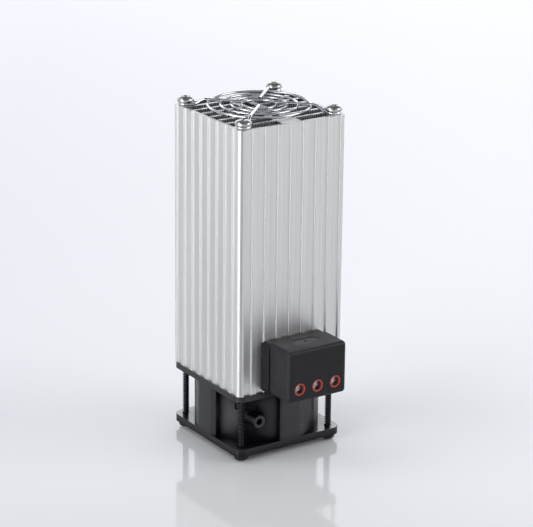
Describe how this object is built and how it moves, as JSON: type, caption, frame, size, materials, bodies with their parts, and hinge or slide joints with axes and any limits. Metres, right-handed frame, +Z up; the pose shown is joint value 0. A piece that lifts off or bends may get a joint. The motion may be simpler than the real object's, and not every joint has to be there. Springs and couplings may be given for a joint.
{
  "type": "enclosure heater",
  "caption": "Square fluted aluminium enclosure heater standing on an axial fan, with a wire finger guard on top, a terminal box on the front and a rail clip behind.",
  "frame": {"origin": "middle of the bounding box at the undersides of the fan screws' heads", "axes": "+Z up along the air flow, -Y toward the terminal box, +X to the right seen from the front"},
  "size_m": [0.081, 0.1189, 0.2277],
  "materials": {
    "anodised_aluminium": "satin anodised, drawn along its length",
    "chrome_wire": "bright chromed wire",
    "zinc_screw": "bright zinc plating",
    "fan_black": "glossy black paint",
    "black_screw": "black zinc",
    "impeller_plastic": "black moulded plastic",
    "motor_steel": "plated steel",
    "bearing_steel": "ground steel",
    "lamination_steel": "varnished sheet steel",
    "winding_copper": "enamelled copper wire",
    "base_plastic": "finely grained black plastic",
    "cover_plastic": "finely grained black plastic",
    "terminal_red": "moulded red plastic",
    "terminal_zinc": "bright zinc plating",
    "clamp_brass": "plain brass",
    "sleeve_film": "amber insulating film",
    "electrode_aluminium": "bare sheet",
    "stone_ceramic": "silvered grey ceramic",
    "lead_silicone": "white silicone insulation",
    "clip_plastic": "black moulded plastic"
  },
  "bodies": {
    "heater": {"heater_profile": "anodised_aluminium", "finger_guard": "chrome_wire", "guard_screws": "zinc_screw", "fan_frame": "fan_black", "fan_screws": "black_screw", "bearings": "bearing_steel", "stator_core": "lamination_steel", "stator_coils": "winding_copper", "terminal_base": "base_plastic", "terminal_cover": "cover_plastic", "terminal_block": "terminal_red", "terminal_screws": "terminal_zinc", "terminal_clamps": "clamp_brass", "base_screws": "zinc_screw", "insulating_sleeve": "sleeve_film", "electrodes": "electrode_aluminium", "ptc_stones": "stone_ceramic", "heater_leads": "lead_silicone", "rail_clip": "clip_plastic", "clip_screws": "zinc_screw"},
    "rotor": {"impeller": "impeller_plastic", "rotor_cup": "motor_steel", "shaft": "motor_steel", "shaft_clip": "motor_steel"}
  },
  "joints": [
    {"name": "fan_spin", "type": "hinge", "parent": "heater", "child": "rotor", "pos_m": [0, 0.01085, 0.0246], "axis": [0, 0, 1], "continuous": true}
  ]
}
